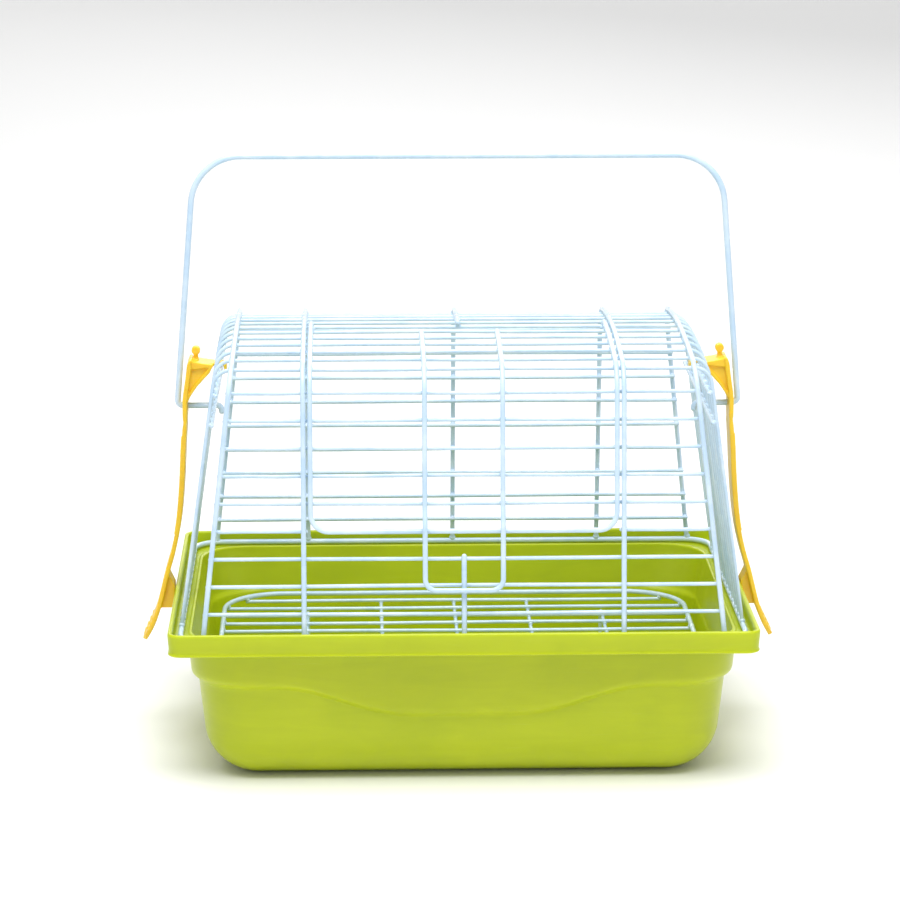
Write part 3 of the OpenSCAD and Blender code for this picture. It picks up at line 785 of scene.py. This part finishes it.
def build_tray(s, material):
    rings = tray_rings(s)
    n = len(rings[0])
    verts = [p for ring in rings for p in ring]
    faces = []
    for k in range(len(rings) - 1):
        a, b = k * n, (k + 1) * n
        for i in range(n):
            j = (i + 1) % n
            faces.append((a + i, a + j, b + j, b + i))
    last = (len(rings) - 1) * n
    for base, back in ((0, True), (last, False)):
        middle = len(verts)
        verts.append((0, 0, verts[base][2]))
        for i in range(n):
            j = (i + 1) % n
            faces.append((middle, base + j, base + i) if back else (middle, base + i, base + j))
    return plain_mesh("tray_moulding", verts, faces, material)


# ---- Operators: one for each piece or group of like pieces

def claim(obj, body, slot, *nodes):
    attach(obj, body)
    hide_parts(*nodes)


def claim_wires(run, name, body, *nodes, **how):
    claim(run.build(name, wire_coating(), **how), body, "coated_wire", *nodes)


class CARRIER_OT_tray(Operator):
    """Moulded tray with rim, channel, waved step and rounded floor"""
    bl_idname = "carrier.tray"
    bl_label = "Tray"

    def execute(self, context):
        s = sizes(context.scene.carrier.tray)
        claim(build_tray(s, tray_plastic()), "tray", "tray_plastic", "tray")
        return {"FINISHED"}


class CARRIER_OT_floor_grate(Operator):
    """Wire grate that stands in the tray on bent legs"""
    bl_idname = "carrier.floor_grate"
    bl_label = "Floor Grate"

    def execute(self, context):
        c = context.scene.carrier
        g, w, t = sizes(c.grate), sizes(c.wires), sizes(c.tray)
        run = WireRun(w)
        z, hx, hy, r = g.height, g.half_x, g.half_y, g.corner
        layer = w.heavy + w.thin + 0.1
        run.path(loop_points(hx, hy, r, z), w.heavy, closed=True)
        claim_wires(run, "grate_frame_ring", "grate", "grate_frame", tips=False)

        def reach(y):
            over = abs(y) - (hy - r)
            return hx if over < 0 else hx - r + math.sqrt(r * r - over * over)

        run = WireRun(w)
        count = int((hy - 2) / g.pitch)
        leg_x, leg_y, cross_x = (-62, 62), 50, (-31, 0, 31)
        slat_z = z - layer
        cross_z = slat_z - 2 * w.thin - 0.1
        for i in range(-count, count + 1):
            y = i * g.pitch
            h = reach(y)
            run.path([(-h + 0.2, y, slat_z), (h - 0.2, y, slat_z)], w.thin, bow=w.bow)
            for x in (-h, h):
                run.weld((x * 0.997, y, z - layer * 0.5), 1.05)
            for x in sorted(leg_x + cross_x):
                if x in cross_x or abs(y) < leg_y - 2:
                    run.weld((x, y, slat_z - w.thin), 0.95)
        for x in cross_x:
            run.path([(x, -hy + 1.8, cross_z), (x, hy - 1.8, cross_z)], w.thin)
        for x in leg_x:
            foot = t.wall + 1.0
            bent = [(x, -leg_y, foot), (x, -leg_y, cross_z), (x, leg_y, cross_z), (x, leg_y, foot)]
            run.path(rounded(bent, [4, 4]), w.thin)
        claim_wires(run, "grate_slats_and_legs", "grate", "grate_slat_wires", "grate_cross_wires",
                    "grate_leg_wires")
        return {"FINISHED"}


def rail_heights(h):
    """The clip hooks over the upper rail; the lower one runs just above the handle's pins."""
    return (153.2, h.pivot_z + 4.4)


class Cage:
    """Where the wires of the top lie. Millimetres."""

    def __init__(self, w):
        self.w = w
        self.dome = Dome(w)
        self.hinge_row = w.long_wires // 2 + 1
        self.first_roof = 10
        self.last_roof = w.long_wires + 1 - self.first_roof
        self.tilt = math.atan((w.outer_x - w.outer_top_x) / (w.roof_z - w.base_z))

    def end_x(self, z):
        return self.w.base_x - (z - self.w.base_z) * math.tan(self.w.end_lean)

    def outer_at(self, z):
        return self.w.outer_x - (z - self.w.base_z) * math.tan(self.tilt)

    def rail_x(self, z):
        """Distance of an end rail from the middle; it lies inside the end uprights."""
        return self.end_x(z) - (2 * self.w.thin + 0.1) / math.cos(self.w.end_lean)

    def over(self, n):
        """Arc length on the arches over long wire n of the roof."""
        l1, l2, l3 = self.dome.lengths(0)
        return l1 + l2 + l3 / 2 + self.dome.row(n)[0]

    def hoop(self, n, side, x_in):
        """From x_in on the roof, out to one end and down to the base frame."""
        y, z = self.dome.row(n)
        foot = self.w.base_z + 0.9
        return rounded([(x_in, y, z), (side * self.end_x(z), y, z), (side * self.end_x(foot), y, foot)],
                       [self.w.end_bend], 8)


class CARRIER_OT_wire_frame(Operator):
    """Base frame, arches and latch post of the wire top"""
    bl_idname = "carrier.wire_frame"
    bl_label = "Wire Top Frame"

    def execute(self, context):
        w = sizes(context.scene.carrier.wires)
        cage = Cage(w)
        dome, tilt = cage.dome, cage.tilt
        run = WireRun(w)
        run.path(loop_points(w.base_x, w.base_y, 12, w.base_z), w.base, closed=True)
        claim_wires(run, "base_frame_ring", "wire_top", "base_frame_wire", tips=False, sides=16)

        run = WireRun(w)
        foot_bead = 1.35
        # the outer arches are the same profile, tilted in towards the roof
        leaning = Dome(w, math.atan(math.tan(w.lean) * math.cos(tilt)),
                       w.base_z + (w.roof_z - w.base_z) / math.cos(tilt))
        tilted = [(w.outer_x - (z - w.base_z) * math.sin(tilt), y, w.base_z + (z - w.base_z) * math.cos(tilt))
                  for y, z in leaning.track(0.5, leaning.total() - 0.5)]
        for side in (-1, 1):
            run.path([(side * w.inner_x, y, z) for y, z in dome.track(0.5, dome.total() - 0.5)], w.heavy)
            run.path([(side * x, y, z) for x, y, z in tilted], w.heavy)
            for x in (w.inner_x, w.outer_x):
                for y in (-w.base_y, w.base_y):
                    run.weld((side * x, y, w.base_z + 1.3), foot_bead)
        start = cage.over(cage.hinge_row) - 1.2
        run.path([(0, y, z) for y, z in dome.track(start, dome.total() - 0.5)], w.heavy)
        run.weld((0, w.base_y, w.base_z + 1.3), foot_bead)
        claim_wires(run, "roof_arches", "wire_top", "left_outer_arch_wire", "right_outer_arch_wire",
                    "left_inner_arch_wire", "right_inner_arch_wire", "rear_centre_arch_wire", sides=16)

        run = WireRun(w)
        top = w.first_gap + 2 * dome.row_step() + 0.9
        run.path([(0, *dome.at(0.6)), (0, *dome.at(top))], w.heavy)
        run.weld((0, -w.base_y, w.base_z + 1.3), foot_bead)
        claim_wires(run, "latch_post", "wire_top", "latch_post_wire", sides=16)
        return {"FINISHED"}


class CARRIER_OT_long_wires(Operator):
    """Long thin wires of the front, back and roof, bent down at the ends into the end panels"""
    bl_idname = "carrier.long_wires"
    bl_label = "Long Wires"

    def execute(self, context):
        c = context.scene.carrier
        w, d, h = sizes(c.wires), sizes(c.door), sizes(c.handle)
        cage = Cage(w)
        dome = cage.dome
        front, roof = WireRun(w), WireRun(w)
        for n in range(1, w.long_wires + 1):
            y, z = dome.row(n)
            joint = dome.joint(n)
            over = cage.outer_at(z) + 0.45
            on_roof = cage.first_roof <= n <= cage.last_roof
            run = roof if on_roof else front
            for side in (-1, 1):
                run.weld((side * w.inner_x, *joint))
                run.weld((side * cage.outer_at(joint[1]), *joint))
            if n < d.first_row or n > cage.last_roof:
                run.path([(-over, y, z), (over, y, z)], w.thin, bow=w.bow)
            elif n < cage.first_roof:
                for side in (-1, 1):
                    run.path([(side * (w.inner_x - 1), y, z), (side * over, y, z)], w.thin, bow=w.bow * 0.6)
            elif n < cage.hinge_row:
                for side in (-1, 1):
                    run.path(cage.hoop(n, side, side * (w.inner_x - 1)), w.thin)
            else:
                left, right = cage.hoop(n, -1, 0), cage.hoop(n, 1, 0)
                run.path(left[:0:-1] + right[1:], w.thin)
            if n < d.first_row or n >= cage.hinge_row:
                run.weld((0, *joint))
            if on_roof:
                for side in (-1, 1):
                    run.weld((side * cage.end_x(w.base_z + 1.2), y, w.base_z + 1.2), 1.2)
                    for rz in rail_heights(h):
                        x = cage.end_x(rz) - (w.thin + 0.05) / math.cos(w.end_lean)
                        run.weld((side * x, y, rz), 0.98)
        claim_wires(front, "panel_long_wires", "wire_top", "front_cross_wires", "rear_cross_wires",
                    "left_front_short_wires", "right_front_short_wires")
        claim_wires(roof, "roof_and_end_wires", "wire_top", "roof_cross_wires", "door_hinge_wire",
                    "left_roof_short_wires", "right_roof_short_wires", "left_end_uprights",
                    "right_end_uprights")

        rails = WireRun(w)
        reach = dome.row(cage.last_roof)[0] + 2
        for side in (-1, 1):
            for rz in rail_heights(h):
                x = side * cage.rail_x(rz)
                rails.path([(x, -reach, rz), (x, reach, rz)], w.thin, bow=w.bow * 0.5)
        claim_wires(rails, "end_rails", "wire_top", "left_end_rail_wires", "right_end_rail_wires")
        return {"FINISHED"}


class CARRIER_OT_door(Operator):
    """Door over the front and half the roof: frame with hinge eyes, thin wires and latch tongue"""
    bl_idname = "carrier.door"
    bl_label = "Door"

    def execute(self, context):
        c = context.scene.carrier
        w, d = sizes(c.wires), sizes(c.door)
        cage = Cage(w)
        dome = cage.dome
        hy, hz = dome.row(cage.hinge_row)
        low = dome.row_length(d.first_row)
        bar = dome.at(low)
        run = WireRun(w)
        # side wires come down from the hinge eyes; the lower corners are rounded
        eye_turns, eye_step, eye_shift = 21, 12.5, 0.9
        sides = []
        for side in (-1, 1):
            wire = []
            for k in range(eye_turns, 0, -1):
                a = math.radians(90 - eye_step * k)
                wire.append((side * (d.side_x - eye_shift * k / eye_turns), hy + dome.layer * math.cos(a),
                             hz + dome.layer * math.sin(a)))
            wire.append((side * d.side_x, hy, hz + dome.layer))
            down = dome.track(low + d.corner + 0.5, cage.over(cage.hinge_row))
            wire += [(side * d.side_x, y, z) for y, z in down[-2::-1]]
            sides.append(wire[:-1])
        over_corner = dome.at(low + d.corner + 0.4)
        half = [(d.side_x, *over_corner), (d.side_x, *bar)]
        bend = rounded([(-x, y, z) for x, y, z in half] + half[::-1], [d.corner, d.corner], 9)
        run.path(sides[0] + bend + sides[1][::-1], w.heavy)
        claim_wires(run, "door_frame", "door", "door_frame_wire", sides=16)

        run = WireRun(w)
        for n in range(d.first_row + 1, cage.hinge_row):
            y, z = dome.row(n)
            run.path([(-d.side_x - 0.7, y, z), (d.side_x + 0.7, y, z)], w.thin, bow=w.bow)
            crossed = (d.side_x, d.tongue_x) if n <= cage.hinge_row - 2 else (d.side_x,)
            for x in crossed:
                for side in (-1, 1):
                    run.weld((side * x, *dome.joint(n)))
        claim_wires(run, "door_thin_wires", "door", "door_cross_wires")

        run = WireRun(w)
        ends = cage.over(cage.hinge_row - 2) + 3
        # the legs step out over the door's lower bar, then hang down to the tongue's own bar
        ky, kz = dome.at(low + 1.5)
        ky, kz = ky - d.tongue_out * math.cos(w.lean), kz + d.tongue_out * math.sin(w.lean)
        foot = (ky - (kz - d.tongue_z) * math.tan(w.lean), d.tongue_z)
        track = dome.track(low + 9.5, ends)
        leg = [track[1], track[0], (ky, kz), foot]
        turns = rounded([(-d.tongue_x, *p) for p in leg] + [(d.tongue_x, *p) for p in leg[::-1]],
                        [3, 3, 4.5, 4.5, 3, 3], 9)
        run.path([(-d.tongue_x, *p) for p in track[:1:-1]] + turns + [(d.tongue_x, *p) for p in track[2:]],
                 w.heavy)
        claim_wires(run, "door_latch_tongue", "door", "door_latch_tongue_wire", sides=16)
        return {"FINISHED"}


class CARRIER_OT_handle(Operator):
    """Bail handle bent from one wire, with its ends turned in through the clips"""
    bl_idname = "carrier.handle"
    bl_label = "Bail Handle"

    def execute(self, context):
        c = context.scene.carrier
        w, h = sizes(c.wires), sizes(c.handle)
        run = WireRun(w)
        tip = Cage(w).end_x(h.pivot_z) - 4            # turned down just inside the end panels
        half = [(tip, h.pivot_z - 2.4), (tip, h.pivot_z), (h.foot_x, h.pivot_z), (h.top_x, h.top_z)]
        pts = [(-x, 0, z) for x, z in half] + [(x, 0, z) for x, z in half[::-1]]
        run.path(rounded(pts, [2, 2.2, h.corner, h.corner, 2.2, 2], 16), h.radius)
        claim_wires(run, "bail_handle", "handle", "handle_wire", sides=24)
        return {"FINISHED"}


def strap_line():
    """Centre line of the right strap from the neck to the thumb tab, as (x, z)."""
    return [(110.2, 134.5), (110.2, 131), (110.9, 121), (111.8, 105), (113.3, 90), (115.7, 78), (118.3, 69),
            (120.2, 61.5), (122, 54.5), (124.6, 47.4), (128.1, 40.7)]


def smooth_line(pts, per=8):
    """A smooth curve through the points, with per steps from each to the next."""
    pts = [np.array(p, float) for p in pts]
    out = []
    for i in range(len(pts) - 1):
        a, b, c, d = pts[max(i - 1, 0)], pts[i], pts[i + 1], pts[min(i + 2, len(pts) - 1)]
        for k in range(per):
            t = k / per
            square, cube = 2 * a - 5 * b + 4 * c - d, 3 * b - a - 3 * c + d
            out.append(0.5 * (2 * b + (c - a) * t + square * t * t + cube * t ** 3))
    out.append(pts[-1])
    return out


def prism(outline, width, y0=0.0):
    """An outline in the XZ plane given thickness along Y, as verts and faces."""
    n = len(outline)
    verts = [(x, y0 - width / 2, z) for x, z in outline] + [(x, y0 + width / 2, z) for x, z in outline]
    faces = [tuple(range(n)), tuple(range(2 * n - 1, n - 1, -1))]
    faces += [((i + 1) % n, i, n + i, n + (i + 1) % n) for i in range(n)]
    return verts, faces


def tube(centre, r, length_y, parts=24):
    """A short round bar along Y."""
    x, y, z = centre
    turns = [2 * math.pi * k / parts for k in range(parts)]
    return prism([(x + r * math.cos(a), z + r * math.sin(a)) for a in turns], length_y, y)


def strap_solid(s):
    """The strap with its thinned living hinge, widening below and rounded at the thumb tab."""
    line = smooth_line(strap_line())
    verts, faces = [], []
    n = len(line)
    for i, p in enumerate(line):
        d = line[min(i + 1, n - 1)] - line[max(i - 1, 0)]
        d /= np.linalg.norm(d)
        out = np.array((-d[1], d[0]))
        if out[0] < 0:
            out = -out
        t = s.thick / 2
        z = p[1]
        if abs(z - s.hinge_z) < 2.0:                      # the living hinge is thinned
            t *= 0.80 + 0.20 * min(1, (abs(z - s.hinge_z) / 2.0) ** 2)
        half = s.width / 2 + 1.0 * min(1, max(0, (78 - z) / 10))
        if z < 46:
            q = min(1, (46 - z) / 6.2)
            half *= math.sqrt(max(0.16, 1 - q * q * 0.84))
        a, b = p + out * t, p - out * t
        verts += [(a[0], -half, a[1]), (a[0], half, a[1]), (b[0], half, b[1]), (b[0], -half, b[1])]
    for i in range(n - 1):
        o = 4 * i
        for k in range(4):
            m = (k + 1) % 4
            faces.append((o + k, o + m, o + 4 + m, o + 4 + k))
    faces += [(3, 2, 1, 0), (4 * n - 4, 4 * n - 3, 4 * n - 2, 4 * n - 1)]
    return verts, faces


def melt(name, solids, cell, material):
    """Melts overlapping solids into one moulding with soft edges."""
    verts, faces = [], []
    for v, f in solids:
        base = len(verts)
        verts += v
        faces += [tuple(base + i for i in face) for face in f]
    obj = plain_mesh(name, verts, faces, material, smooth=False)
    mod = obj.modifiers.new("Melt", "REMESH")
    mod.mode = "VOXEL"
    mod.voxel_size = cell * 0.001
    mod.adaptivity = 0.0
    soft = obj.modifiers.new("Soften", "SMOOTH")
    soft.factor = 0.5
    soft.iterations = 3
    deps = bpy.context.evaluated_depsgraph_get()
    mesh = bpy.data.meshes.new_from_object(obj.evaluated_get(deps))
    obj.modifiers.clear()
    old = obj.data
    obj.data = mesh
    bpy.data.meshes.remove(old)
    mesh.name = name
    mesh.shade_smooth()
    face_outwards(mesh)
    return obj


class CARRIER_OT_clips(Operator):
    """Moulded side clips: hook and neck on the end panel, living hinge, strap, catch and thumb tab"""
    bl_idname = "carrier.clips"
    bl_label = "Side Clips"

    def execute(self, context):
        c = context.scene.carrier
        s, h, w, t = sizes(c.clips), sizes(c.handle), sizes(c.wires), sizes(c.tray)
        rz = rail_heights(h)[0]
        rx = Cage(w).rail_x(rz)
        rim, top, wd = t.rim_x, t.rim_z, s.width
        solids = [strap_solid(s)]
        # spine up the outside of the head, top plate, web between them, hook finger over the rail
        spine = [(109.3, 132.2), (111.1, 132.2), (111.1, 139.6), (110.8, 142.5), (109.7, 149.6),
                 (109.1, 154.4), (108.3, 156.5), (107.2, 156.7), (107.7, 151), (109.0, 142.5), (109.3, 139.2)]
        solids.append(prism(spine, wd))
        plate = [(98.6, 153.7), (98.6, 154.7), (103.0, 155.3), (107.6, 156.3), (108.7, 154.4), (108.8, 152.6)]
        solids.append(prism(plate, wd * 0.86))
        under = [(98.6, 154.2), (99.4, 152.6), (101.6, 149.7), (105.2, 145.7), (107.7, 142), (109.2, 138.8),
                 (110.4, 139), (109.4, 146), (108.4, 154.4)]
        solids.append(prism(under, wd * 0.72))
        rib = [(98.7, 154.3), (100.0, 151.4), (101.6, 149.7), (105.2, 145.7), (107.7, 142), (109.3, 138.8),
               (110.4, 139.4), (108.6, 142.6), (106.0, 146.6), (102.4, 150.7), (100.6, 153.0), (100.2, 154.6)]
        solids.append(prism(rib, wd * 0.86))
        finger = [(100.4, 155.1), (rx - 1.6, 154.9), (rx - 2.4, 154.5), (rx - 2.5, rz - 1.7),
                  (rx - 1.6, rz - 1.9), (rx - 1.25, rz + 0.75), (rx + 0.9, rz + 0.85), (100.4, rz + 0.6)]
        solids.append(prism(finger, 7.6))
        # knob on top of the head
        solids.append(prism([(104.6, 155.0), (106.7, 155.0), (106.4, 160.0), (104.9, 160.0)], 2.2))
        solids.append(tube((105.6, 0, 159.7), 1.75, 3.4))
        # boss round the handle's pin: a round bar turned to lie along X
        boss, boss_faces = tube((0, 110.15, h.pivot_z), 3.4, 2.2, 20)
        solids.append(([(y, x, z) for x, y, z in boss], boss_faces))
        # catch against the skirt, with a sloped lead-in above and below
        catch = [(rim + 0.45, top - 1), (rim + 0.45, 56.4), (rim + 1.7, 53.8), (121.8, 53.8), (120.7, 57.5),
                 (118.6, top + 4.0), (rim + 2.8, top + 4.0)]
        solids.append(prism(catch, wd * 0.72))
        # grip ridges on the thumb tab
        for k in range(4):
            solids.append(tube((124.75 + 1.06 * k, 0, 49.62 - 2.2 * k), 0.45, wd * (0.94 - 0.12 * k), 12))
        # side flanges stiffen the strap's long run
        edge = [p for p in smooth_line(strap_line()) if 84 < p[1] < 126]
        outline = [(x + 0.2, z) for x, z in edge] + [(x + 1.25, z) for x, z in edge[::-1]]
        for side in (-1, 1):
            solids.append(prism(outline, 0.9, side * (wd / 2 - 0.45)))
        for side, sign in (("right", 1), ("left", -1)):
            here = []
            for verts, faces in solids:
                if sign < 0:
                    faces = [tuple(reversed(face)) for face in faces]
                here.append(([(sign * x, y, z) for x, y, z in verts], faces))
            obj = melt("clip_" + side, here, s.cell, clip_plastic())
            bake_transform(obj)
            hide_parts(side + "_clip_head", side + "_clip_arm")
        return {"FINISHED"}


class CARRIER_OT_stage(Operator):
    """Pale floor, soft studio light and the camera"""
    bl_idname = "carrier.stage"
    bl_label = "Stage"

    def execute(self, context):
        scene = context.scene
        # floor that sweeps up behind
        steps, bend_y, bend_r = 24, 0.9, 1.2
        profile = [(-4.0, 0.0), (bend_y, 0.0)]
        for k in range(steps + 1):
            a = math.radians(90 * k / steps)
            profile.append((bend_y + bend_r * math.sin(a), bend_r * (1 - math.cos(a))))
        profile.append((bend_y + bend_r, 4.5))
        verts = [(x, y, z - 0.00005) for x in (-5.0, 5.0) for y, z in profile]
        m = len(profile)
        faces = [(i, m + i, m + i + 1, i + 1) for i in range(m - 1)]
        mesh = bpy.data.meshes.new("studio_floor")
        mesh.from_pydata(verts, [], faces)
        mesh.materials.append(floor_paint())
        mesh.shade_smooth()
        floor = bpy.data.objects.new("studio_floor", mesh)
        scene.collection.objects.link(floor)

        world = bpy.data.worlds.new("Studio")
        world.use_nodes = True
        back = world.node_tree.nodes["Background"]
        back.inputs["Color"].default_value = (1.0, 1.0, 1.0, 1)
        back.inputs["Strength"].default_value = 0.44
        scene.world = world
        scene.view_settings.view_transform = "Standard"
        scene.view_settings.look = "None"
        scene.view_settings.exposure = 0.0

        def area(name, place, aim, size, power):
            light = bpy.data.lights.new(name, "AREA")
            light.shape = "RECTANGLE"
            light.size, light.size_y = size
            light.energy = power
            obj = bpy.data.objects.new(name, light)
            obj.location = place
            obj.rotation_euler = (Vector(aim) - Vector(place)).to_track_quat("-Z", "Y").to_euler()
            scene.collection.objects.link(obj)

        area("overhead_soft", (-0.10, -0.20, 1.35), (0, 0, 0.08), (1.3, 1.0), 15.0)
        area("front_high_soft", (0.05, -0.60, 1.25), (0, 0, 0.06), (0.9, 0.5), 8.0)
        area("front_left_soft", (-0.95, -1.15, 0.75), (0, 0, 0.08), (0.8, 0.8), 0.7)
        area("front_right_soft", (1.05, -0.9, 0.55), (0, 0, 0.1), (0.8, 0.8), 0.6)
        area("rear_soft", (0.2, 1.2, 0.7), (0, 0, 0.12), (1.2, 0.6), 4.5)

        cam = bpy.data.cameras.new("Camera")
        cam.lens = 144.1
        cam.sensor_width = 36.0
        cam.clip_end = 50
        obj = bpy.data.objects.new("Camera", cam)
        obj.location = (-0.0442, -1.4262, 0.4365)
        aim = Vector((-0.0033, 0.0001, 0.1178))
        obj.rotation_euler = (aim - obj.location).to_track_quat("-Z", "Y").to_euler()
        scene.collection.objects.link(obj)
        scene.camera = obj
        return {"FINISHED"}


PIECES = (CARRIER_OT_tray, CARRIER_OT_floor_grate, CARRIER_OT_wire_frame, CARRIER_OT_long_wires,
          CARRIER_OT_door, CARRIER_OT_handle, CARRIER_OT_clips, CARRIER_OT_stage)


class VIEW3D_PT_carrier(Panel):
    """Lists the carrier's pieces and their sizes"""
    bl_label = "Carrier"
    bl_idname = "VIEW3D_PT_carrier"
    bl_space_type = "VIEW_3D"
    bl_region_type = "UI"
    bl_category = "Carrier"

    def draw(self, context):
        layout = self.layout
        settings = context.scene.carrier
        for piece in PIECES:
            layout.operator(piece.bl_idname)
        for key in ("tray", "grate", "wires", "door", "handle", "clips", "colours"):
            box = layout.box()
            box.label(text=key.capitalize())
            group = getattr(settings, key)
            for prop in group.bl_rna.properties.keys():
                if prop not in ("rna_type", "name"):
                    box.prop(group, prop)


CLASSES = (TraySizes, GrateSizes, WireSizes, DoorSizes, HandleSizes, ClipSizes, CarrierColours,
           CarrierSettings, *PIECES, VIEW3D_PT_carrier)


def register():
    for cls in CLASSES:
        bpy.utils.register_class(cls)
    bpy.types.Scene.carrier = PointerProperty(type=CarrierSettings)


def unregister():
    del bpy.types.Scene.carrier
    for cls in reversed(CLASSES):
        bpy.utils.unregister_class(cls)


def main():
    register()
    for piece in PIECES:
        group, name = piece.bl_idname.split(".")
        getattr(getattr(bpy.ops, group), name)()


if __name__ == "__main__":
    main()
